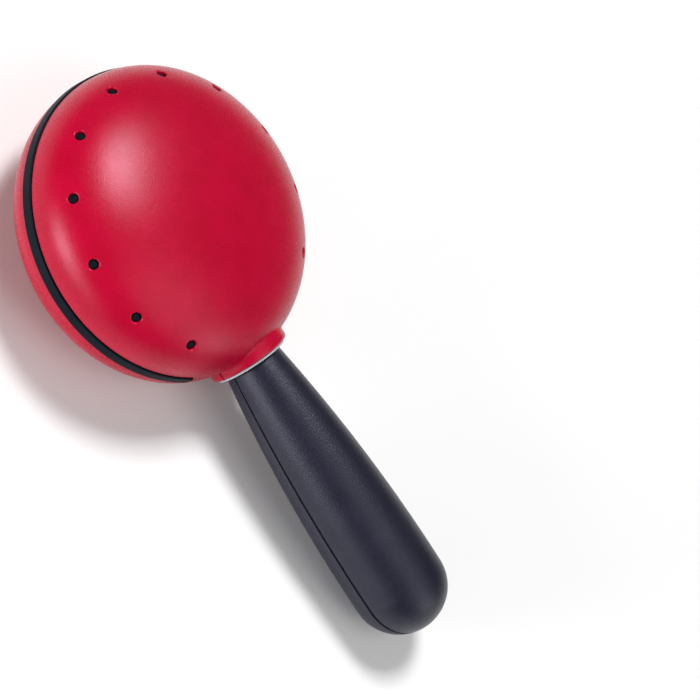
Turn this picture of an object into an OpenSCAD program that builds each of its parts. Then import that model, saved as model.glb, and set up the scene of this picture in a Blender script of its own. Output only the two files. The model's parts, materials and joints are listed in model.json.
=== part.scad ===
// Handled shaker (maraca) with a flat, lens-shaped head, lying at rest on a table.
// Two moulded shells and a black hoop make the sealed head, two halves make the hollow handle,
// and loose steel shot lies on the lower dome.
// Every piece is drawn about the head's centre, with the handle along +X and the front dome
// towards +Z. on_table() then lays the whole shaker down, with its origin under the middle of it.

/* [Head] */
// Diameter of the shells at their rim
head_d = 110; // [90:1:130]
// Height of each dome above the rim band
dome_h = 26.6; // [22:0.2:32]
// Exponent of the dome's outline, where 2 is an ellipse
dome_power = 2.26; // [1.9:0.02:2.4]
// Wall of the head
wall = 2.4; // [2:0.1:3]

/* [Rim band] */
// Width of the black band between the two shells
band_w = 5; // [4:0.5:6]
// How far the band stands out of the shells' surface
band_stand = 0.6; // [0.4:0.1:0.9]
// Angle between the handle's axis and each tip of the band; the shells meet inside it
band_stop = 28.5; // [24:0.5:40]
// Thickness of the hoop's flanges behind the shells
flange_t = 1.2; // [1:0.1:1.4]
// Distance of the flanges' inner edge from the head's axis, as a share of the radius
flange_from = 0.78; // [0.7:0.01:0.82]

/* [Rim holes] */
// Diameter of each small hole
hole_d = 3.6; // [2:0.1:4]
// Number of equal steps round the rim; the two at the neck have no hole
hole_steps = 13; // [9:1:17]
// Distance of the holes from the head's axis, as a share of the radius
hole_ring = 0.88; // [0.85:0.005:0.9]
// Depth below the surface at which a black pip of the hoop closes each hole
pip_sink = 0.7; // [0.2:0.1:0.9]

/* [Neck] */
// Radius of the red collar
collar_r = 14.9; // [14.9:0.1:17]
// Distance from the head's centre to the collar's lip
collar_x = 56; // [55.5:0.5:60]
// Rounding of the collar's lip
lip_round = 1.5; // [1:0.1:1.5]
// Outer radius of the grey ring in the collar's mouth
ring_r = 13.2; // [12.8:0.1:13.2]
// Radius of the handle's spigot inside the collar
spigot_r = 9; // [8:0.1:9.5]
// Radius of the spigot's flange, which the collar's halves clamp
spigot_flange_r = 12; // [11:0.1:12.5]

/* [Handle] */
// Radius of the handle where it leaves the ring
neck_r = 10.5; // [10:0.1:12]
// Radius of the handle at the middle of the grip
grip_r = 15.4; // [14:0.1:16.5]
// Distance from the head's centre to the middle of the grip
grip_x = 101; // [95:1:110]
// Radius of the round end
end_r = 17; // [16:0.1:18]
// Distance from the head's centre to the centre of the round end
end_x = 151; // [140:0.5:165]
// Wall of the handle
handle_wall = 2.4; // [2:0.1:3]
// Half width of the groove along the handle's joint
groove_half_w = 0.5; // [0.2:0.05:0.6]
// Depth of the groove along the handle's joint
groove_depth = 0.5; // [0.3:0.1:0.8]

/* [Shot] */
// Diameter of each steel ball
shot_d = 5; // [4:0.5:6]
// Rings of balls round the middle one
shot_rings = 2; // [1:1:2]
// Distance between the centres of neighbouring balls
shot_pitch = 5.5; // [5.4:0.1:6.5]

/* [Hidden] */
head_r = head_d / 2;
band_half_w = band_w / 2;
band_r = head_r + band_stand;
past = 1;                       // how far a cutter reaches past what it cuts
fit_gap = 0.1;                  // clearance between pieces that are fixed together
seam_half = 0.05;               // half of the gap at the plane where the halves meet
gap_angle = fit_gap / head_r * 180 / PI;
nose_inset = 0.05;              // keeps the band's round ends just inside its straight edges
nose_r = band_half_w - nose_inset;
nose_angle = band_stop + asin(nose_r / head_r);
rod_turn = 30;                  // turns the rods' facets away from the joint plane
shot_gap = 0.2;                 // clearance between a ball and the wall it lies on
lean_guess = 6;                 // start of the search for the lean, and its number of rounds
lean_rounds = 12;
lean_probe = 0.5;
dome_steps = 24;
handle_steps = 20;
round_steps = 10;
revolve_fn = 120;
rod_fn = 48;
ball_fn = 32;
hole_fn = 24;
dual_power = dome_power / (dome_power - 1);
open_step = 360 / hole_steps;

// Places along the handle's axis inside the neck
plug_x = 42;                    // inner face of the socket and of the spigot
plug_t = 2;                     // end wall of the spigot
flange_x0 = 45;
flange_x1 = 49;
ring_x0 = collar_x - 1.4;       // seat of the grey ring in the collar
ring_x1 = collar_x + 1.1;       // face of the grey ring that the handle butts against
ring_stand = 0.8;               // how far the ring's rim stands out of the collar
ring_chamfer = 0.4;
ring_step = 0.2;                // how much wider than the handle's neck the ring's face is
handle_x0 = ring_x1 + fit_gap;
throat_x0 = handle_x0 + 2;      // the hollow widens from the spigot's bore to the grip's
throat_x1 = handle_x0 + 4;
pin_r = 1.5;                    // locating pins between the handle's halves
pin_h = 3;
pin_end_gap = 0.3;
boss_r = 3.2;
boss_xs = [78, 140];

shot_r = shot_d / 2;
shot_dirs = [for (s = [0:5]) [cos(60 * s), sin(60 * s)]];

// ---------- Outlines ----------

// A point of the dome's outline, sunk by d below the surface.
// t runs from 0 at the rim to 90 at the pole.
function dome_point(d, t) = [
    (head_r - d) * pow(cos(t), 2 / dome_power),
    band_half_w + (dome_h - d) * pow(sin(t), 2 / dome_power)
];
function dome_arc(d, t0 = 0, t1 = 90) = [
    for (i = [0:dome_steps]) dome_point(d, t0 + (t1 - t0) * i / dome_steps)
];
// Height of the sunk outline at the distance x from the head's axis, and its slope there
function dome_z(d, x) =
    band_half_w + (dome_h - d) * pow(1 - pow(x / (head_r - d), dome_power), 1 / dome_power);
function dome_slope(d, x) =
    (dome_h - d) / (head_r - d) * pow(x / (head_r - d), dome_power - 1)
    * pow(1 - pow(x / (head_r - d), dome_power), 1 / dome_power - 1);
// Value of t where the sunk outline is at the distance x from the head's axis
function dome_t(d, x) = acos(pow(x / (head_r - d), dome_power / 2));

// Radius of the handle, a parabola through the neck, the grip and the round end
function handle_r(x) =
    neck_r * (x - grip_x) * (x - end_x) / ((handle_x0 - grip_x) * (handle_x0 - end_x))
    + grip_r * (x - handle_x0) * (x - end_x) / ((grip_x - handle_x0) * (grip_x - end_x))
    + end_r * (x - handle_x0) * (x - grip_x) / ((end_x - handle_x0) * (end_x - grip_x));
// Outline of the handle from x0 to its round end, sunk by d below the surface
function handle_arc(d, x0) = concat(
    [for (i = [0:handle_steps]) let (x = x0 + (end_x - x0) * i / handle_steps) [x, handle_r(x) - d]],
    [for (i = [1:round_steps]) let (a = 90 - 90 * i / round_steps)
        [end_x + (end_r - d) * cos(a), (end_r - d) * sin(a)]]
);

// ---------- Lying on the table ----------

// How far the head reaches from its centre, in the direction that leans by a degrees from its axis
function head_reach(a) = band_half_w * cos(a)
    + pow(pow(head_r * sin(a), dual_power) + pow(dome_h * cos(a), dual_power), 1 / dual_power);
// The lean at which the dome and the round end both touch the table
function rest_lean(a, steps) =
    steps == 0 ? a : rest_lean(asin((head_reach(a) - end_r) / end_x), steps - 1);
lean = rest_lean(lean_guess, lean_rounds);
// How far the band, which is the widest place, reaches towards -X when the head leans
back_reach = band_r * cos(lean) + (band_half_w - fit_gap) * sin(lean);
front_reach = end_x * cos(lean) + end_r;
// Where the dome touches the table, along the handle's direction
touch_x = head_reach(lean) * sin(lean)
    + (head_reach(lean + lean_probe) - head_reach(lean - lean_probe)) / (2 * lean_probe)
    * 180 / PI * cos(lean);

module on_table() {
    translate([(back_reach - front_reach) / 2, 0, head_reach(lean)])
        rotate([0, lean, 0])
            children();
}

// ---------- Shot layout: rings of a hexagon round the lowest point of the chamber ----------

shot_places = concat(
    [[0, 0]],
    [for (k = [1:shot_rings]) for (s = [0:5]) for (i = [0:k - 1])
        k * shot_dirs[s] + i * shot_dirs[(s + 2) % 6]]
);
function shot_centre(i) =
    let (
        p = [touch_x + shot_pitch * shot_places[i][0], shot_pitch * shot_places[i][1]],
        r = norm(p),
        drop = (shot_r + shot_gap) / cos(atan(dome_slope(wall, r)))
    )
    [p[0], p[1], -(dome_z(wall, r) - drop)];
function shot_name(i) = str("shot_", i < 9 ? "0" : "", i + 1);

// ---------- Shared shapes ----------

// A solid of revolution about the X axis, from points given as [x, radius]
module turned(points) {
    rotate([0, 90, 0])
        rotate_extrude($fn = revolve_fn)
            polygon([for (p = points) [p[1], p[0]]]);
}

// All that lies higher than z
module above(z) {
    translate([-head_r - past, -head_r - past, z])
        cube([head_r + end_x + end_r + 2 * past, 2 * (head_r + past), head_r]);
}

// Head solid above the joint plane, sunk by d below the surface
module dome_solid(d) {
    rotate_extrude($fn = revolve_fn)
        polygon(concat([[0, 0], [head_r - d, 0]], dome_arc(d)));
}

// Outline turned round the rim, away from the neck, from the angle start on one side to the other
module hoop_sector(profile, start) {
    rotate([0, 0, start])
        rotate_extrude(angle = 360 - 2 * start, $fn = revolve_fn)
            polygon(profile);
}

// Half outline of the hoop, from the joint plane up: web, visible band and flange
function hoop_profile() =
    let (skin = wall - flange_t, edge = flange_from * head_r)
    concat(
        [
            [head_r - wall, 0], [band_r, 0],
            [band_r, band_half_w - fit_gap], [head_r - skin, band_half_w - fit_gap]
        ],
        dome_arc(skin, 0, dome_t(skin, edge)),
        dome_arc(wall, dome_t(wall, edge), 0)
    );

// The seat that a shell has for the hoop: open at the rim, and right through to the chamber
function seat_profile() =
    let (skin = wall - flange_t - fit_gap, edge = flange_from * head_r - fit_gap)
    concat(
        [
            [head_r - wall - 2 * past, -past], [head_r + past, -past],
            [head_r + past, band_half_w], [head_r - skin, band_half_w]
        ],
        dome_arc(skin, 0, dome_t(skin, edge)),
        dome_arc(wall + past, dome_t(wall + past, edge), 0)
    );

// Radial rod whose side is the round end of the band
module nose_rod(r) {
    rotate([0, 90, 0])
        rotate([0, 0, rod_turn])
            cylinder(h = head_r + 2 * past, r = r, $fn = rod_fn);
}

// What is cut off the hoop's end: all that lies on the neck's side of X, but for the round end
module beyond_nose(side) {
    length = 3 * band_half_w;
    difference() {
        translate([head_r / 2, side > 0 ? -length : 0, -head_r])
            cube([head_r, length, 2 * head_r]);
        nose_rod(nose_r - fit_gap);
    }
}

// Seats of the band's round ends in the shells
module nose_seats() {
    intersection() {
        difference() {
            cylinder(h = band_w, r = head_r + past, center = true, $fn = revolve_fn);
            cylinder(
                h = band_w + 2 * past, r = head_r - wall - 2 * past, center = true, $fn = revolve_fn
            );
        }
        for (side = [-1, 1])
            rotate([0, 0, side * nose_angle])
                nose_rod(nose_r);
    }
}

// Places its children at each hole, with Z square to the surface
module at_holes() {
    x = hole_ring * head_r;
    tilt = atan(dome_slope(0, x));
    for (k = [1:hole_steps - 2])
        rotate([0, 0, 180 + (k - (hole_steps - 1) / 2) * open_step])
            translate([x, 0, dome_z(0, x)])
                rotate([0, tilt, 0])
                    children();
}

module rim_holes() {
    at_holes()
        translate([0, 0, -wall])
            cylinder(h = 2 * wall, d = hole_d, $fn = hole_fn);
}

// Pips on the hoop's flange, which close the holes just below the surface
module pips() {
    root = wall - flange_t / 2;
    at_holes()
        translate([0, 0, -root])
            cylinder(h = root - pip_sink, d = hole_d - 2 * fit_gap, $fn = hole_fn);
}

// Outside of the collar, from inside the head to the rounded lip
module collar_outside() {
    turned(concat(
        [[plug_x, 0], [plug_x, collar_r]],
        [for (i = [0:round_steps]) let (a = 90 - 90 * i / round_steps)
            [collar_x - lip_round + lip_round * cos(a), collar_r - lip_round + lip_round * sin(a)]],
        [[collar_x, 0]]
    ));
}

// Stepped bore of the collar: spigot, clamped flange and seat of the grey ring
module collar_bore() {
    turned([
        [plug_x - past, 0], [plug_x - past, spigot_r + fit_gap],
        [flange_x0 - fit_gap, spigot_r + fit_gap], [flange_x0 - fit_gap, spigot_flange_r + fit_gap],
        [flange_x1 + fit_gap, spigot_flange_r + fit_gap], [flange_x1 + fit_gap, spigot_r + fit_gap],
        [ring_x0 - fit_gap, spigot_r + fit_gap], [ring_x0 - fit_gap, ring_r + fit_gap],
        [collar_x + past, ring_r + fit_gap], [collar_x + past, 0]
    ]);
}

// One moulded shell: dome, rim lip at the neck and half of the collar
module shell() {
    intersection() {
        difference() {
            union() {
                difference() {
                    dome_solid(0);
                    dome_solid(wall);
                    hoop_sector(seat_profile(), nose_angle - gap_angle);
                    nose_seats();
                    rim_holes();
                }
                collar_outside();
            }
            collar_bore();
        }
        above(seam_half);
    }
}

// Outline of a handle half's outside, from the spigot's end to the round end
function handle_outline(d) = concat(
    [
        [plug_x, 0], [plug_x, spigot_r],
        [flange_x0, spigot_r], [flange_x0, spigot_flange_r],
        [flange_x1, spigot_flange_r], [flange_x1, spigot_r],
        [handle_x0, spigot_r]
    ],
    handle_arc(d, handle_x0)
);
// Outline of the hollow inside both the spigot and the grip
function handle_hollow() = concat(
    [
        [plug_x + plug_t, 0], [plug_x + plug_t, spigot_r - handle_wall],
        [throat_x0, spigot_r - handle_wall]
    ],
    handle_arc(handle_wall, throat_x1)
);

module boss_posts() {
    for (x = boss_xs)
        translate([x, 0, 0])
            cylinder(h = end_r, r = boss_r, $fn = rod_fn);
}

// Half of the handle: its outside is stepped back at the joint, which leaves the groove
module handle_half() {
    difference() {
        union() {
            intersection() {
                turned(handle_outline(groove_depth));
                above(seam_half);
            }
            intersection() {
                turned(handle_outline(0));
                above(groove_half_w);
            }
        }
        turned(handle_hollow());
    }
    intersection() {
        turned(handle_outline(handle_wall / 2));
        above(seam_half);
        boss_posts();
    }
}

// ---------- Pieces ----------

module front_shell() {
    color("crimson") on_table() shell();
}

module rear_shell() {
    color("crimson") on_table() mirror([0, 0, 1]) shell();
}

module rim_hoop() {
    color("#22262e") on_table()
        difference() {
            for (side = [0, 1])
                mirror([0, 0, side]) {
                    hoop_sector(hoop_profile(), band_stop);
                    pips();
                }
            for (side = [-1, 1])
                rotate([0, 0, side * nose_angle])
                    beyond_nose(side);
        }
}

module neck_ring() {
    color("#a9b6c2") on_table()
        turned([
            [ring_x0, spigot_r + fit_gap], [ring_x0, ring_r],
            [collar_x + ring_stand - ring_chamfer, ring_r],
            [collar_x + ring_stand, ring_r - ring_chamfer],
            [ring_x1, neck_r + ring_step], [ring_x1, spigot_r + fit_gap]
        ]);
}

module handle_front_half() {
    color("#26252f") on_table()
        difference() {
            handle_half();
            for (x = boss_xs)
                translate([x, 0, -past])
                    cylinder(h = past + pin_h + pin_end_gap, r = pin_r + fit_gap, $fn = rod_fn);
        }
}

module handle_rear_half() {
    color("#26252f") on_table()
        mirror([0, 0, 1])
            union() {
                handle_half();
                for (x = boss_xs)
                    translate([x, 0, -pin_h])
                        cylinder(h = pin_h + past, r = pin_r, $fn = rod_fn);
            }
}

module shot(i) {
    color("silver") on_table()
        translate(shot_centre(i))
            sphere(d = shot_d, $fn = ball_fn);
}

front_shell();
rear_shell();
rim_hoop();
neck_ring();
handle_front_half();
handle_rear_half();
for (i = [0:len(shot_places) - 1])
    shot(i);
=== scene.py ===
"""Looks of the handled shaker: two red shells, a black rim hoop, a grey neck ring and a black handle.

The pieces are drawn in millimetres about the head's centre, with the handle along +X and the front
dome towards +Z, as in the CAD model. TO_ROW then lays them down where the frame has them.
"""
import json
import math

import bpy
import numpy as np
from mathutils import Matrix, Vector
from mathutils.geometry import delaunay_2d_cdt


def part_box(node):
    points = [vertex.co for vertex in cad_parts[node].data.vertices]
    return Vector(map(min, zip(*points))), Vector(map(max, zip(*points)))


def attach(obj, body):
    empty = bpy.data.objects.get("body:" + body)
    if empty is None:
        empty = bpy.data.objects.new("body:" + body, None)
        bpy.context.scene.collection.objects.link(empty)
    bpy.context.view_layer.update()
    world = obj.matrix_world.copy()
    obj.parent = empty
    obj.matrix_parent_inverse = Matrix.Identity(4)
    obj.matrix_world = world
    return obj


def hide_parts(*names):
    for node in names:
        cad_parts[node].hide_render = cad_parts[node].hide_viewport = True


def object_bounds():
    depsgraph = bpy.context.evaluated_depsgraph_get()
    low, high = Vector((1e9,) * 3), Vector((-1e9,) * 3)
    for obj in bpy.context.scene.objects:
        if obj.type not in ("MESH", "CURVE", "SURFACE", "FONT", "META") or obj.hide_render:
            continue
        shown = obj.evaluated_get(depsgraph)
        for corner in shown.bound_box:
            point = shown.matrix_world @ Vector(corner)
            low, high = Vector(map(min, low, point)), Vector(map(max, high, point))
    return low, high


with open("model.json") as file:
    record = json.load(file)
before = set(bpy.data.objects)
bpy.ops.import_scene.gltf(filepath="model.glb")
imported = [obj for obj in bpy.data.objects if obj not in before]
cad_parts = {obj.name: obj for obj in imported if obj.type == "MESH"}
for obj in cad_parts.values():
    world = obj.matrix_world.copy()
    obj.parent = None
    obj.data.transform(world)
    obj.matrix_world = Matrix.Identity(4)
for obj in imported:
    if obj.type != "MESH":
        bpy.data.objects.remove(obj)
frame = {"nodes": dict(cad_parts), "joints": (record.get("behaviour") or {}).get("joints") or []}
CAD_LOW, CAD_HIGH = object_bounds()

# ---------- Sizes in millimetres, as in the CAD model ----------
MM = 0.001
HEAD_R = 55.0
DOME_H = 26.6
DOME_POWER = 2.26
BAND_HALF = 2.5
BAND_R = 55.6
BAND_STOP = math.radians(28.5)
WALL = 2.4
SKIN = 1.1                  # thickness of the shells in front of the hoop's flanges
FIT_GAP = 0.1               # glue line between two pieces
FLANGE_FROM = 0.78
HOLE_R = 1.8
HOLE_RING = 0.88
HOLE_STEPS = 13
PIP_SINK = 0.7              # depth of the black pips below the shells' surface
COLLAR_R = 14.9
COLLAR_X = 56.0
LIP_ROUND = 1.5
RING_R = 13.2
RING_X0 = 54.6
RING_X1 = 57.1
RING_STAND = 0.8
SPIGOT_R = 9.0
HANDLE_X0 = 57.2
NECK_R = 10.5
GRIP_X = 101.0
GRIP_R = 15.4
END_X = 151.0
END_R = 17.0
HANDLE_WALL = 2.4
GROOVE_HALF = 0.5
GROOVE_DEPTH = 0.5

# ---------- Sizes in millimetres of the finer details of the visible surface ----------
SEAM_HALF = 0.28            # half of the gap where two halves meet
EDGE_R = 0.3                # rounding of the shells' edges
HOLE_EDGE_R = 0.6
FILLET_R = 0.9              # blend between the dome and the collar
TAB_R = 0.5                 # rounding of the shells' tabs beside the band's ends
BAND_GAP = 0.3              # gap between the band and the shells' edges
BAND_EDGE_R = 0.4
PIP_R = 1.5
PIP_ROUND = 0.7             # rounding of the pips' top
PIP_MIDDLE_R = 0.3
PIP_ROOT = 0.5              # how far the pips reach past the shells' skin, into the flange
RING_EDGE_R = 0.35
RING_LAND = 0.3             # width and rounding of the ring's rim beside the handle
RING_HIDDEN_R = 0.1
HANDLE_EDGE_R = 0.25
HANDLE_LEAD = 0.55          # from the handle's CAD end to where its rounded edge begins
BALL_LEAD = 2.0             # length in which the grip's normals turn into the ball's

# ---------- Density of the meshes ----------
DOME_SAMPLES = 3000
RIM_SAMPLES = 60
DOME_SPACING = 1.5
RIM_SPACING = 1.0
NECK_COLUMNS = 96
JOINT_COLUMNS = 18
HOLE_SIDES = 32
FLANGE_ROWS = 24
FLANGE_STEPS = 240
BAND_ROWS = 7
BAND_COLUMNS = 280
PIP_SIDES = 28
RING_STEPS = 160
HANDLE_STATIONS = 90
HANDLE_LEVELS = 28
BALL_ARCS = 40

# ---------- Where the shaker lies ----------
lean_axis = Vector(frame["joints"][0]["axis"])
LEAN = math.atan2(lean_axis.x, lean_axis.z)
HEAD_CENTRE = Vector((
    CAD_LOW.x + (BAND_R * math.cos(LEAN) + BAND_HALF * math.sin(LEAN)) * MM,
    0.0,
    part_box("front_shell")[1].z / 2,
))
TO_ROW = (
    Matrix.Translation(HEAD_CENTRE)
    @ Matrix.Rotation(LEAN, 4, "Y")
    @ Matrix.Scale(MM, 4)
)

# ---------- Skins: surfaces with exact normals, rolled edges and a wall ----------


class Skin:
    """An open surface of points with exact normals. solid() rolls its edges and gives it a thickness."""

    def __init__(self):
        self.points = []
        self.normals = []
        self.faces = []
        self.loops = []

    def add(self, points, normals):
        first = len(self.points)
        self.points.extend(map(tuple, points))
        self.normals.extend(map(tuple, normals))
        return list(range(first, len(self.points)))

    def strip(self, low, high, closed=False):
        """Quads between two rows of the same length. high lies to the left of low, seen from outside."""
        count = len(low) if closed else len(low) - 1
        for i in range(count):
            j = (i + 1) % len(low)
            self.faces.append((low[i], low[j], high[j], high[i]))

    def solid(self, edges, thickness):
        """Closes the skin. edges gives each loop's profile as (out, depth, lean) steps, where lean
        turns the normal from the surface's towards the outward direction."""
        points = np.array(self.points)
        normals = np.array(self.normals)
        outer = len(points)
        all_points = [points, points - normals * thickness]
        all_normals = [normals, -normals]
        faces = [(f, True) for f in self.faces]
        faces += [(tuple(outer + v for v in reversed(f)), True) for f in self.faces]
        count = 2 * outer
        for loop, profile in zip(self.loops, edges):
            at, n = points[loop], normals[loop]
            along = np.roll(at, -1, 0) - np.roll(at, 1, 0)
            out = np.cross(along, n)
            out /= np.linalg.norm(out, axis=1)[:, None]
            previous = list(loop)
            for distance, depth, lean in profile:
                all_points.append(at + out * distance - n * depth)
                all_normals.append(n * math.cos(lean) + out * math.sin(lean))
                row = list(range(count, count + len(loop)))
                count += len(loop)
                faces += [(f, True) for f in ring_faces(row, previous)]
                previous = row
            inner = [outer + v for v in loop]
            faces += [(f, False) for f in ring_faces(inner, previous)]
        return np.concatenate(all_points), np.concatenate(all_normals), faces


def ring_faces(low, high):
    """Quads between two closed rows of the same length."""
    size = len(low)
    return [
        (low[i], low[(i + 1) % size], high[(i + 1) % size], high[i]) for i in range(size)
    ]


def rolled(radius, depth, steps=4):
    """Profile of an edge that is rounded and then goes straight down to depth."""
    arc = [
        (radius * math.sin(a), radius * (1 - math.cos(a)), a)
        for a in np.linspace(0, math.pi / 2, steps + 1)[1:]
    ]
    return arc + [(radius, depth, math.pi / 2)]


def make_piece(name, parts, material):
    """A mesh object from (points, normals, faces) parts, in the head's frame and in millimetres."""
    points, normals, faces, smooth = [], [], [], []
    for part_points, part_normals, part_faces in parts:
        first = sum(len(p) for p in points)
        points.append(part_points)
        normals.append(part_normals)
        faces += [tuple(first + v for v in f) for f, _ in part_faces]
        smooth += [s for _, s in part_faces]
    points, normals = np.concatenate(points), np.concatenate(normals)
    mesh = bpy.data.meshes.new(name)
    mesh.from_pydata([tuple(p) for p in points], [], faces)
    mesh.transform(TO_ROW)
    turn = np.array(Matrix.Rotation(LEAN, 3, "Y"))
    normals = normals @ turn.T
    mesh.shade_smooth()
    corner_normals = []
    for polygon, is_smooth in zip(mesh.polygons, smooth):
        flat = tuple(polygon.normal)
        for v in polygon.vertices:
            corner_normals.append(tuple(normals[v]) if is_smooth else flat)
    mesh.normals_split_custom_set(corner_normals)
    mesh.materials.append(material)
    piece = bpy.data.objects.new(name, mesh)
    bpy.context.scene.collection.objects.link(piece)
    return piece


def mirrored(part):
    """The same part on the other side of the joint plane."""
    points, normals, faces = part
    flip = np.array([1, 1, -1])
    return points * flip, normals * flip, [(tuple(reversed(f)), s) for f, s in faces]


# ---------- The head's outline, from the pole over the dome and down the rim ----------


def head_outline():
    """The outline's points and normals, by the length s along it from the pole."""
    t = np.linspace(math.pi / 2, 0, DOME_SAMPLES)
    rho = HEAD_R * np.clip(np.cos(t), 0, 1) ** (2 / DOME_POWER)
    rise = DOME_H * np.sin(t) ** (2 / DOME_POWER)
    n_rho = (rho / HEAD_R) ** (DOME_POWER - 1) / HEAD_R
    n_z = (rise / DOME_H) ** (DOME_POWER - 1) / DOME_H
    size = np.hypot(n_rho, n_z)
    z_rim = np.linspace(BAND_HALF, -1, RIM_SAMPLES)[1:]
    rho = np.concatenate([rho, np.full(len(z_rim), HEAD_R)])
    z = np.concatenate([BAND_HALF + rise, z_rim])
    n_rho = np.concatenate([n_rho / size, np.ones(len(z_rim))])
    n_z = np.concatenate([n_z / size, np.zeros(len(z_rim))])
    s = np.concatenate([[0], np.cumsum(np.hypot(np.diff(rho), np.diff(z)))])
    return {"s": s, "rho": rho, "z": z, "n_rho": n_rho, "n_z": n_z}


HEAD = head_outline()


def at_length(key, s):
    return np.interp(s, HEAD["s"], HEAD[key])


def length_at_z(z):
    return np.interp(-np.asarray(z), -HEAD["z"], HEAD["s"])


def length_at_rho(rho):
    return np.interp(rho, HEAD["rho"][:DOME_SAMPLES], HEAD["s"][:DOME_SAMPLES])


def head_points(s, phi):
    """Points and normals of the head's surface at outline length s and azimuth phi."""
    rho, n_rho = at_length("rho", s), at_length("n_rho", s)
    points = np.stack([rho * np.cos(phi), rho * np.sin(phi), at_length("z", s)], 1)
    normals = np.stack([n_rho * np.cos(phi), n_rho * np.sin(phi), at_length("n_z", s)], 1)
    return points, normals / np.linalg.norm(normals, axis=1)[:, None]


# ---------- The red shells ----------
EDGE_Z = SEAM_HALF + EDGE_R         # height at which the joint's edge begins to roll


def fillet_points(theta, share):
    """The blend between dome (share 0) and collar (share 1), at angles theta round the handle's axis."""
    outset_z = HEAD["z"] + FILLET_R * HEAD["n_z"]
    outset_rho = HEAD["rho"] + FILLET_R * HEAD["n_rho"]
    ball_z = (COLLAR_R + FILLET_R) * np.sin(theta)
    ball_y = (COLLAR_R + FILLET_R) * np.cos(theta)
    ball_rho = np.interp(-ball_z, -outset_z, outset_rho)
    s = np.interp(-ball_z, -outset_z, HEAD["s"])
    ball = np.stack([np.sqrt(ball_rho ** 2 - ball_y ** 2), ball_y, ball_z], 1)
    phi = np.arctan2(ball_y, ball[:, 0])
    to_dome = -head_points(s, phi)[1]
    to_collar = np.stack([0 * theta, -np.cos(theta), -np.sin(theta)], 1)
    angle = np.arccos(np.clip((to_dome * to_collar).sum(1), -1, 1))[:, None]
    direction = (
        np.sin((1 - share) * angle) * to_dome + np.sin(share * angle) * to_collar
    ) / np.sin(angle)
    return ball + FILLET_R * direction, -direction, s, phi


def neck_angles(share):
    """Angles of one row of the blend, which ends where the joint's edge begins to roll."""
    low, high = 0.0, 0.2
    for _ in range(40):
        middle = (low + high) / 2
        height = fillet_points(np.array([middle]), share)[0][0, 2]
        low, high = (middle, high) if height < EDGE_Z else (low, middle)
    return np.linspace(low, math.pi - low, NECK_COLUMNS + 1)


def collar_row(x, r, normal_lean):
    """A row round the collar. normal_lean turns the normal from radial towards +X."""
    start = math.asin(EDGE_Z / r)
    theta = np.linspace(start, math.pi - start, NECK_COLUMNS + 1)
    radial = np.stack([0 * theta, np.cos(theta), np.sin(theta)], 1)
    points = radial * r
    points[:, 0] = x
    ahead = np.array([1.0, 0, 0])
    return points, radial * math.cos(normal_lean) + ahead * math.sin(normal_lean)


def rim_path(phi, z):
    """Points of the plane (azimuth, height) as (outline length, azimuth)."""
    return np.stack([length_at_z(z), phi], 1)


def notch_path():
    """Edge of the shell beside the neck, from the joint plane up round the band's end to the rim."""
    nose_r = BAND_HALF + EDGE_R
    nose_a = HEAD_R * BAND_STOP + nose_r
    tab_z = EDGE_Z + TAB_R
    tab_a = nose_a - math.sqrt((nose_r + TAB_R) ** 2 - tab_z ** 2)
    turn_end = -math.asin(tab_z / (nose_r + TAB_R))
    turn = np.linspace(-math.pi / 2, turn_end, 6)
    tab = np.stack([tab_a + TAB_R * np.cos(turn), tab_z + TAB_R * np.sin(turn)], 1)
    bend = np.linspace(-turn_end, math.pi / 2, 14)[1:]
    nose = np.stack([nose_a - nose_r * np.cos(bend), nose_r * np.sin(bend)], 1)
    path = np.concatenate([tab, nose])
    return rim_path(path[:, 0] / HEAD_R, path[:, 1])


def hole_azimuth(index):
    """Azimuth of one hole. They lie a whole step apart, and none lies at the neck."""
    return math.pi + (index - (HOLE_STEPS - 1) / 2) * math.tau / HOLE_STEPS


def hole_loop(index):
    """Edge of one small round hole, drilled square to the surface, as (length, azimuth) points."""
    s0 = length_at_rho(HOLE_RING * HEAD_R)
    phi0 = hole_azimuth(index)
    centre, normal = (v[0] for v in head_points(np.array([s0]), np.array([phi0])))
    across = np.array([-math.sin(phi0), math.cos(phi0), 0])
    down = np.cross(across, normal)
    turn = np.linspace(0, math.tau, HOLE_SIDES + 1)[:-1]
    radius = HOLE_R + HOLE_EDGE_R
    wanted = np.stack([radius * np.cos(turn), radius * np.sin(turn)], 1)
    s, phi = s0 + wanted[:, 0], phi0 + wanted[:, 1] / (HOLE_RING * HEAD_R)
    for _ in range(6):
        offset = head_points(s, phi)[0] - centre
        s = s + wanted[:, 0] - offset @ down
        phi = phi + (wanted[:, 1] - offset @ across) / (HOLE_RING * HEAD_R)
    return np.stack([s, phi], 1)[::-1]


def flat(path):
    """(length, azimuth) points laid out flat round the pole."""
    return np.stack([path[:, 0] * np.cos(path[:, 1]), path[:, 0] * np.sin(path[:, 1])], 1)


def inside(points, polygon):
    """Which points lie inside the polygon."""
    x, y = points[:, 0], points[:, 1]
    result = np.zeros(len(points), bool)
    for (x0, y0), (x1, y1) in zip(polygon, np.roll(polygon, -1, 0)):
        if y0 == y1:
            continue
        crosses = (y0 > y) != (y1 > y)
        result ^= crosses & (x < (x1 - x0) * (y - y0) / (y1 - y0) + x0)
    return result


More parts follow.
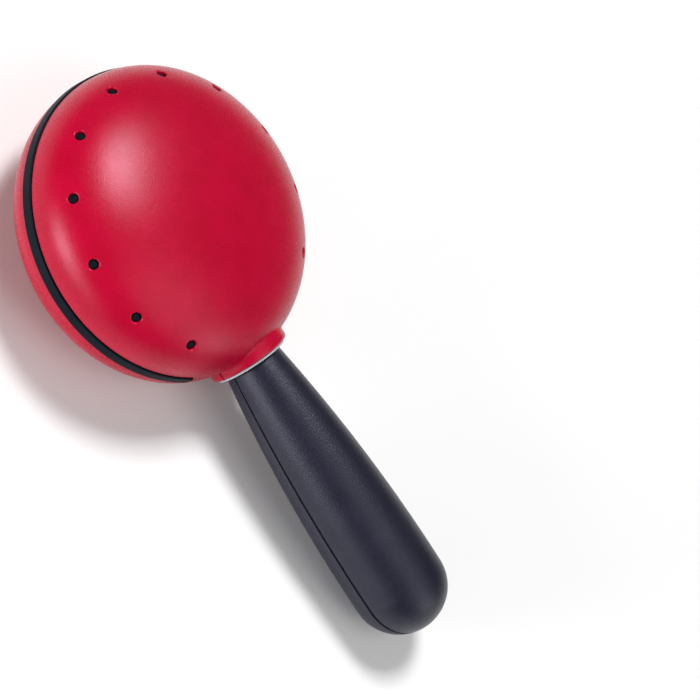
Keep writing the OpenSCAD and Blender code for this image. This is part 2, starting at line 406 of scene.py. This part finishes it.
def fill_between(outer, holes, spacing):
    """Triangles of the flat region inside outer and outside the holes. Returns the inner points
    and triangles, whose indices count the outer loop's points, then each hole's, then the inner ones."""
    edge = np.concatenate([outer] + holes)
    grid = []
    for k in range(1, int(np.abs(outer).max() / spacing) + 1):
        count = max(6, round(math.tau * k))
        turn = np.arange(count) * math.tau / count + 0.5 * k
        grid.append(np.stack([k * spacing * np.cos(turn), k * spacing * np.sin(turn)], 1))
    grid = np.concatenate([np.zeros((1, 2))] + grid)
    keep = inside(grid, outer)
    for hole in holes:
        keep &= ~inside(grid, hole)
    grid = grid[keep]
    near = np.array([np.hypot(*(edge - g).T).min() for g in grid])
    grid = grid[near > 0.45 * spacing]
    points = np.concatenate([edge, grid])
    links, first = [], 0
    for loop in [outer] + holes:
        links += [(first + i, first + (i + 1) % len(loop)) for i in range(len(loop))]
        first += len(loop)
    result = delaunay_2d_cdt([Vector(p) for p in points], links, [], 0, 1e-7)
    source = [ids[0] for ids in result[3]]
    triangles = np.array([[source[v] for v in f] for f in result[2]])
    centres = points[triangles].mean(1)
    keep = inside(centres, outer)
    for hole in holes:
        keep &= ~inside(centres, hole)
    return grid, triangles[keep]


def neck_rows(skin):
    """The blend, the collar and its rounded lip, row by row away from the dome, and the blend's edge
    on the dome as a path."""
    rows = []
    for share in np.linspace(0, 1, 7):
        points, normals, s, phi = fillet_points(neck_angles(share), share)
        if share == 0:
            neck_path = np.stack([s, phi], 1)
        rows.append(skin.add(points, normals))
    foot_x = points[:, 0]
    lip_x = COLLAR_X - LIP_ROUND
    for k in (1, 2, 3):
        rows.append(skin.add(*collar_row(foot_x + (lip_x - foot_x) * k / 3, COLLAR_R, 0)))
    for turn in np.linspace(0, math.pi / 2, 8)[1:]:
        x = lip_x + LIP_ROUND * math.sin(turn)
        r = COLLAR_R - LIP_ROUND * (1 - math.cos(turn))
        rows.append(skin.add(*collar_row(x, r, turn)))
    for low, high in zip(rows, rows[1:]):
        skin.strip(low, high)
    return rows, neck_path


def shell_part():
    """The front shell: dome, collar and lip as one skin, closed to a thin solid."""
    skin = Skin()
    rows, neck_path = neck_rows(skin)
    # Dome: the region round the pole, bounded by the rim, the notches and the neck
    notch = notch_path()
    far_notch = notch[::-1] * [1, -1]
    rim_from, rim_to = notch[-1, 1], math.tau - notch[-1, 1]
    rim_count = round((rim_to - rim_from) / (RIM_SPACING / HEAD_R))
    rim_phi = np.linspace(rim_from, rim_to, rim_count)[1:-1]
    rim = rim_path(rim_phi, np.full(len(rim_phi), BAND_HALF + EDGE_R))
    joint_phi = np.linspace(neck_path[0, 1], notch[0, 1], JOINT_COLUMNS)[1:-1]
    joint = rim_path(joint_phi, np.full(len(joint_phi), EDGE_Z))
    far_joint = joint[::-1] * [1, -1]
    border = np.concatenate([notch, rim, far_notch, far_joint, neck_path[::-1], joint])
    holes = [hole_loop(k) for k in range(1, HOLE_STEPS - 1)]
    inner, triangles = fill_between(flat(border), [flat(h) for h in holes], DOME_SPACING)
    neck_first = len(notch) + len(rim) + len(far_notch) + len(far_joint)
    before = skin.add(*head_points(*border[:neck_first].T))
    after = skin.add(*head_points(*joint.T))
    border_ids = before + rows[0][::-1] + after
    hole_ids = [skin.add(*head_points(*h.T)) for h in holes]
    inner_s, inner_phi = np.hypot(*inner.T), np.arctan2(inner[:, 1], inner[:, 0])
    inner_ids = skin.add(*head_points(inner_s, inner_phi))
    ids = np.array(border_ids + sum(hole_ids, []) + inner_ids)
    skin.faces += [tuple(ids[t]) for t in triangles]
    # The open edge runs round the dome's border, and round the collar instead of the neck curve
    left_column = [row[0] for row in rows]
    right_column = [row[-1] for row in rows]
    around = before + right_column[:-1] + rows[-1][::-1] + left_column[-2::-1] + after
    skin.loops = [around] + hole_ids
    edges = [rolled(EDGE_R, SKIN)] + [rolled(HOLE_EDGE_R, SKIN)] * len(hole_ids)
    return skin.solid(edges, SKIN)


# ---------- The black hoop ----------


def swept_part(outline, phi_from, phi_to, steps):
    """A closed outline of (radius, z, normal r, normal z) swept round the head's axis, with flat ends."""
    outline = np.array(outline)
    size = len(outline)
    points, normals, faces = [], [], []
    for phi in np.linspace(phi_from, phi_to, steps + 1):
        r, z, nr, nz = outline.T
        points.append(np.stack([r * math.cos(phi), r * math.sin(phi), z], 1))
        normals.append(np.stack([nr * math.cos(phi), nr * math.sin(phi), nz], 1))
    for k in range(steps):
        low = list(range(k * size, (k + 1) * size))
        high = [v + size for v in low]
        faces += [(f, True) for f in ring_faces(high, low)]
    faces.append((tuple(range(size)), False))
    faces.append((tuple(reversed(range(steps * size, (steps + 1) * size))), False))
    return np.concatenate(points), np.concatenate(normals), faces


def flange_part():
    """The hoop's front flange, which closes the shell's holes from behind."""
    start, end = length_at_rho(FLANGE_FROM * HEAD_R), length_at_z(BAND_HALF)
    s = np.linspace(start, end, FLANGE_ROWS)
    n_rho, n_z = at_length("n_rho", s), at_length("n_z", s)
    rho, z = at_length("rho", s), at_length("z", s)
    front, back = SKIN + FIT_GAP, WALL
    outline = [
        (r - front * a, h - front * b, a, b) for r, h, a, b in zip(rho, z, n_rho, n_z)
    ]
    outline += [
        (r - back * a, h - back * b, -a, -b) for r, h, a, b in zip(rho, z, n_rho, n_z)
    ][::-1]
    nose = BAND_STOP + BAND_HALF / HEAD_R
    return swept_part(outline[::-1], nose, math.tau - nose, FLANGE_STEPS)


def band_part():
    """The visible band: a curved strip with round ends, standing out of the shells' surface."""
    half = BAND_HALF - BAND_GAP - BAND_EDGE_R
    depth = BAND_R - HEAD_R + WALL
    nose_a = HEAD_R * BAND_STOP + BAND_HALF
    # The first column stops short of the tip, where its points would fall together
    bend = np.linspace(0.12, math.pi / 2, 12)
    nose = np.stack([nose_a - half * np.cos(bend), half * np.sin(bend)], 1)
    straight = np.linspace(nose_a, HEAD_R * math.tau - nose_a, BAND_COLUMNS)[1:-1]
    columns = np.concatenate([
        nose,
        np.stack([straight, np.full(len(straight), half)], 1),
        np.stack([HEAD_R * math.tau - nose[::-1, 0], nose[::-1, 1]], 1),
    ])
    skin = Skin()
    rows = []
    for level in np.linspace(1, -1, BAND_ROWS):
        phi = columns[:, 0] / HEAD_R
        radial = np.stack([np.cos(phi), np.sin(phi), 0 * phi], 1)
        points = radial * BAND_R
        points[:, 2] = columns[:, 1] * level
        rows.append(skin.add(points, radial))
    for low, high in zip(rows, rows[1:]):
        skin.strip(high, low)
    top, bottom = rows[0], rows[-1]
    first = [row[0] for row in rows][1:-1]
    last = [row[-1] for row in rows][1:-1]
    skin.loops = [bottom + last[::-1] + top[::-1] + first]
    return skin.solid([rolled(BAND_EDGE_R, depth)], depth)


def pip_part(index):
    """A short round pip of the hoop, which closes one hole just below the surface."""
    s = np.array([length_at_rho(HOLE_RING * HEAD_R)])
    phi = np.array([hole_azimuth(index)])
    centre, normal = (v[0] for v in head_points(s, phi))
    across = np.array([-math.sin(phi[0]), math.cos(phi[0]), 0])
    down = np.cross(across, normal)
    turn = np.linspace(0, math.tau, PIP_SIDES + 1)[:-1, None]
    spoke = across * np.cos(turn) - down * np.sin(turn)
    skin = Skin()
    rings = []
    for radius in (PIP_MIDDLE_R, PIP_R - PIP_ROUND):
        points = centre - normal * PIP_SINK + spoke * radius
        rings.append(skin.add(points, np.tile(normal, (len(points), 1))))
    skin.faces = [tuple(rings[0])]
    for low, high in zip(rings, rings[1:]):
        skin.strip(high, low, closed=True)
    skin.loops = [rings[-1]]
    depth = SKIN + PIP_ROOT - PIP_SINK
    return skin.solid([rolled(PIP_ROUND, depth, 6)], depth)


# ---------- The grey ring ----------


def turned_part(outline, steps):
    """A closed outline of (x, radius) turned round the handle's axis, with rounded corners given."""
    outline = np.array(outline)
    size = len(outline)
    ahead = np.roll(outline, -1, 0) - np.roll(outline, 1, 0)
    side = np.stack([ahead[:, 1], -ahead[:, 0]], 1)
    side /= np.linalg.norm(side, axis=1)[:, None]
    points, normals, faces = [], [], []
    for k in range(steps):
        a = math.tau * k / steps
        x, r = outline.T
        nx, nr = side.T
        points.append(np.stack([x, r * math.cos(a), r * math.sin(a)], 1))
        normals.append(np.stack([nx, nr * math.cos(a), nr * math.sin(a)], 1))
        low = list(range(k * size, (k + 1) * size))
        high = [(v + size) % (steps * size) for v in low]
        faces += [(f, True) for f in ring_faces(low, high)]
    return np.concatenate(points), np.concatenate(normals), faces


def rounded_corners(corners, steps=4):
    """An outline from (x, radius, rounding) corners, each replaced by an arc."""
    path = []
    size = len(corners)
    for k in range(size):
        before, here, after = (np.array(corners[(k + d) % size][:2]) for d in (-1, 0, 1))
        rounding = corners[k][2]
        back, ahead = before - here, after - here
        back, ahead = back / np.linalg.norm(back), ahead / np.linalg.norm(ahead)
        half = math.acos(float(np.clip(back @ ahead, -1, 1))) / 2
        reach_along = rounding / math.tan(half)
        middle = back + ahead
        centre = here + middle / np.linalg.norm(middle) * rounding / math.sin(half)
        start, end = here + back * reach_along - centre, here + ahead * reach_along - centre
        for share in np.linspace(0, 1, steps + 1):
            point = start * (1 - share) + end * share
            path.append(centre + point / np.linalg.norm(point) * rounding)
        following = np.array(corners[(k + 1) % size][:2])
        for share in (0.3, 0.7):
            path.append(here * (1 - share) + following * share)
    return path


def ring_part():
    """The grey ring: a flat face beside the handle, and a bevel down to the collar's mouth."""
    inner_r = SPIGOT_R + FIT_GAP
    corners = [
        (RING_X1, inner_r, RING_HIDDEN_R),
        (RING_X1, NECK_R + RING_LAND, RING_LAND),
        (COLLAR_X + RING_STAND, RING_R, RING_EDGE_R),
        (RING_X0, RING_R, RING_HIDDEN_R),
        (RING_X0, inner_r, RING_HIDDEN_R),
    ]
    return turned_part(rounded_corners(corners), RING_STEPS)


# ---------- The handle ----------


def handle_radius(x):
    """A parabola through the neck, the middle of the grip and the round end, and its slope."""
    fit = np.polyfit([HANDLE_X0, GRIP_X, END_X], [NECK_R, GRIP_R, END_R], 2)
    return np.polyval(fit, x), np.polyval(np.polyder(fit), x)


def handle_part():
    """The handle's front half: a half tube that ends in a quarter ball, with a groove along the joint."""
    edge_z = GROOVE_HALF + HANDLE_EDGE_R
    skin = Skin()
    columns = []
    for x in np.linspace(HANDLE_X0 + HANDLE_LEAD, END_X, HANDLE_STATIONS):
        r, slope = handle_radius(x)
        start = math.asin(edge_z / r)
        a = np.linspace(start, math.pi - start, 2 * HANDLE_LEVELS + 1)
        points = np.stack([x + 0 * a, r * np.cos(a), r * np.sin(a)], 1)
        ahead = -slope if x < END_X - BALL_LEAD else 0
        normals = np.stack([ahead + 0 * a, np.cos(a), np.sin(a)], 1)
        normals /= np.linalg.norm(normals, axis=1)[:, None]
        columns.append(skin.add(points, normals))
    for low, high in zip(columns, columns[1:]):
        skin.strip(low, high)
    # The quarter ball: arcs from the joint to the top, which all meet at the topmost point
    top = columns[-1][HANDLE_LEVELS]
    right = columns[-1][:HANDLE_LEVELS]
    left = columns[-1][:HANDLE_LEVELS:-1]
    start = math.asin(edge_z / END_R)
    rise = np.linspace(start, math.pi / 2, HANDLE_LEVELS + 1)[:-1]
    arcs = [right]
    for turn in np.linspace(math.pi / 2, -math.pi / 2, BALL_ARCS + 1)[1:-1]:
        normals = np.stack([
            np.cos(rise) * math.cos(turn), np.cos(rise) * math.sin(turn), np.sin(rise)
        ], 1)
        arcs.append(skin.add(normals * END_R + np.array([END_X, 0, 0]), normals))
    arcs.append(left)
    for low, high in zip(arcs, arcs[1:]):
        skin.strip(low, high)
        skin.faces.append((high[-1], low[-1], top))
    joint_right = [c[0] for c in columns]
    joint_left = [c[-1] for c in columns]
    ball_joint = [a[0] for a in arcs[1:-1]]
    loop = joint_right + ball_joint + joint_left[::-1] + columns[0][::-1][1:-1]
    skin.loops = [loop[::-1]]
    floor = GROOVE_HALF - SEAM_HALF
    groove = rolled(HANDLE_EDGE_R, GROOVE_DEPTH)
    groove += [
        (HANDLE_EDGE_R + floor, GROOVE_DEPTH, 0),
        (HANDLE_EDGE_R + floor, HANDLE_WALL, math.pi / 2),
    ]
    return skin.solid([groove], HANDLE_WALL)


# ---------- Materials ----------


def node_tree(name):
    material = bpy.data.materials.new(name)
    material.use_nodes = True
    tree = material.node_tree
    shader = tree.nodes["Principled BSDF"]
    where = tree.nodes.new("ShaderNodeTexCoord")
    scale = tree.nodes.new("ShaderNodeMapping")
    scale.inputs["Scale"].default_value = (1 / MM, 1 / MM, 1 / MM)
    tree.links.new(where.outputs["Object"], scale.inputs["Vector"])
    return material, tree, shader, scale.outputs["Vector"]


def noise(tree, where, size_mm, detail=2.0, roughness=0.5):
    """A noise whose blobs measure about size_mm."""
    node = tree.nodes.new("ShaderNodeTexNoise")
    node.inputs["Scale"].default_value = 1 / size_mm
    node.inputs["Detail"].default_value = detail
    node.inputs["Roughness"].default_value = roughness
    tree.links.new(where, node.inputs["Vector"])
    return node.outputs["Fac"]


def spread(tree, value, low, high, to_low, to_high):
    node = tree.nodes.new("ShaderNodeMapRange")
    node.inputs["From Min"].default_value = low
    node.inputs["From Max"].default_value = high
    node.inputs["To Min"].default_value = to_low
    node.inputs["To Max"].default_value = to_high
    tree.links.new(value, node.inputs["Value"])
    return node.outputs["Result"]


def blend_colours(tree, share, first, second):
    node = tree.nodes.new("ShaderNodeMix")
    node.data_type = "RGBA"
    tree.links.new(share, node.inputs["Factor"])
    for socket, colour in ((node.inputs["A"], first), (node.inputs["B"], second)):
        if isinstance(colour, bpy.types.NodeSocket):
            tree.links.new(colour, socket)
        else:
            socket.default_value = (*colour, 1)
    return node.outputs["Result"]


def moulded_plastic(name, colour, other, rough, grain_mm, grain_depth, shine, tint_of_shine):
    """Satin moulded plastic: a fine spark-eroded grain, slight clouding of colour and gloss."""
    material, tree, shader, where = node_tree(name)
    clouds = spread(tree, noise(tree, where, 9.0, 3.0), 0.35, 0.65, 0, 1)
    fine = noise(tree, where, grain_mm, 3.0, 0.6)
    tint = blend_colours(tree, clouds, colour, other)
    tree.links.new(tint, shader.inputs["Base Color"])
    gloss = spread(tree, fine, 0.3, 0.7, rough - 0.05, rough + 0.05)
    tree.links.new(gloss, shader.inputs["Roughness"])
    bump = tree.nodes.new("ShaderNodeBump")
    bump.inputs["Strength"].default_value = 1.0
    bump.inputs["Distance"].default_value = grain_depth * MM
    tree.links.new(fine, bump.inputs["Height"])
    tree.links.new(bump.outputs["Normal"], shader.inputs["Normal"])
    shader.inputs["Specular IOR Level"].default_value = shine
    shader.inputs["Specular Tint"].default_value = (*tint_of_shine, 1)
    return material


def steel():
    material, tree, shader, where = node_tree("shot_steel")
    stains = spread(tree, noise(tree, where, 1.2, 4.0), 0.3, 0.7, 0, 1)
    tint = blend_colours(tree, stains, (0.50, 0.50, 0.51), (0.66, 0.66, 0.65))
    tree.links.new(tint, shader.inputs["Base Color"])
    tree.links.new(spread(tree, stains, 0, 1, 0.16, 0.3), shader.inputs["Roughness"])
    shader.inputs["Metallic"].default_value = 1.0
    return material


RED = moulded_plastic(
    "red_satin", colour=(0.45, 0.0, 0.026), other=(0.41, 0.0, 0.021), rough=0.27,
    grain_mm=0.4, grain_depth=0.065, shine=0.31, tint_of_shine=(1.0, 0.75, 0.9),
)
HOOP_BLACK = moulded_plastic(
    "hoop_black", colour=(0.003, 0.007, 0.012), other=(0.005, 0.010, 0.016), rough=0.45,
    grain_mm=0.4, grain_depth=0.04, shine=0.06, tint_of_shine=(0.8, 0.95, 1.0),
)
GREY = moulded_plastic(
    "ring_grey", colour=(0.46, 0.52, 0.58), other=(0.50, 0.56, 0.62), rough=0.42,
    grain_mm=0.4, grain_depth=0.03, shine=0.5, tint_of_shine=(1.0, 1.0, 1.0),
)
BLACK = moulded_plastic(
    "handle_black", colour=(0.007, 0.007, 0.018), other=(0.010, 0.010, 0.023), rough=0.38,
    grain_mm=0.5, grain_depth=0.11, shine=0.5, tint_of_shine=(0.85, 0.85, 1.0),
)
STEEL = steel()

# ---------- Pieces ----------


def place(piece, node):
    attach(piece, "maraca")
    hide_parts(node)


shell = shell_part()
place(make_piece("front_shell_moulding", [shell], RED), "front_shell")
place(make_piece("rear_shell_moulding", [mirrored(shell)], RED), "rear_shell")
closing = [flange_part()] + [pip_part(k) for k in range(1, HOLE_STEPS - 1)]
hoop_parts = [band_part()] + closing + [mirrored(part) for part in closing]
hoop = make_piece("rim_hoop_moulding", hoop_parts, HOOP_BLACK)
place(hoop, "rim_hoop")
place(make_piece("neck_ring_turned", [ring_part()], GREY), "neck_ring")
half = handle_part()
place(make_piece("handle_front_moulding", [half], BLACK), "handle_front_half")
place(make_piece("handle_rear_moulding", [mirrored(half)], BLACK), "handle_rear_half")
for name, node in frame["nodes"].items():
    if name.startswith("shot_"):
        node.data.materials.clear()
        node.data.materials.append(STEEL)
        node.data.shade_smooth()

# ---------- Camera: where the photograph was taken from ----------
CAMERA_AZIMUTH = math.radians(-8.48)
CAMERA_ELEVATION = math.radians(49.26)
CAMERA_ROLL = math.radians(-60.25)
CAMERA_DISTANCE = 1.4529
CAMERA_LENS = 218.83
AIM = HEAD_CENTRE + Vector((0.07246, 0.01559, 0.02248))

back = Vector((
    math.sin(CAMERA_AZIMUTH) * math.cos(CAMERA_ELEVATION),
    -math.cos(CAMERA_AZIMUTH) * math.cos(CAMERA_ELEVATION),
    math.sin(CAMERA_ELEVATION),
))
level_right = Vector((0, 0, 1)).cross(back).normalized()
level_up = back.cross(level_right)
up = level_up * math.cos(CAMERA_ROLL) + level_right * math.sin(CAMERA_ROLL)
right = up.cross(back)
TO_CAMERA = Matrix((right, up, back)).transposed().to_4x4()
camera = bpy.data.objects.new("camera", bpy.data.cameras.new("camera"))
camera.data.lens = CAMERA_LENS
camera.data.clip_end = 20
camera.matrix_world = Matrix.Translation(AIM + back * CAMERA_DISTANCE) @ TO_CAMERA
bpy.context.scene.collection.objects.link(camera)
bpy.context.scene.camera = camera

# ---------- Studio ----------
LIGHT_DISTANCE = 1.2
FLOOR_HALF = 6.0


def softbox(name, direction, size, power):
    """A square soft light that faces the object. direction is (right, up, back) for the camera."""
    toward = (right * direction[0] + up * direction[1] + back * direction[2]).normalized()
    lamp = bpy.data.objects.new(name, bpy.data.lights.new(name, "AREA"))
    lamp.data.size = size
    lamp.data.energy = power
    lamp.location = AIM + toward * LIGHT_DISTANCE
    lamp.rotation_euler = toward.to_track_quat("Z", "Y").to_euler()
    bpy.context.scene.collection.objects.link(lamp)


softbox("key", (0.43, 0.71, 0.56), 0.33, 12.0)
softbox("left", (-0.70, -0.05, 0.71), 0.45, 9.0)
softbox("lower_left", (-0.55, -0.45, 0.70), 0.5, 2.5)
softbox("right", (0.74, -0.20, 0.64), 0.9, 3.6)
softbox("lower_right", (0.80, -0.6, 0.1), 0.5, 2.4)

world = bpy.data.worlds.new("studio")
world.use_nodes = True
background = world.node_tree.nodes["Background"]
background.inputs["Color"].default_value = (1, 1, 1, 1)
background.inputs["Strength"].default_value = 0.15
bpy.context.scene.world = world
bpy.context.scene.view_settings.view_transform = "Standard"


def pale_floor():
    material, tree, shader, where = node_tree("floor_pale")
    clouds = noise(tree, where, 120.0)
    tint = blend_colours(tree, clouds, (0.90, 0.90, 0.90), (0.92, 0.92, 0.92))
    tree.links.new(tint, shader.inputs["Base Color"])
    shader.inputs["Roughness"].default_value = 0.9
    turns = ((-1, -1), (1, -1), (1, 1), (-1, 1))
    corners = [(x * FLOOR_HALF, y * FLOOR_HALF, 0) for x, y in turns]
    mesh = bpy.data.meshes.new("floor")
    mesh.from_pydata(corners, [], [(0, 1, 2, 3)])
    mesh.materials.append(material)
    floor = bpy.data.objects.new("floor", mesh)
    bpy.context.scene.collection.objects.link(floor)


pale_floor()
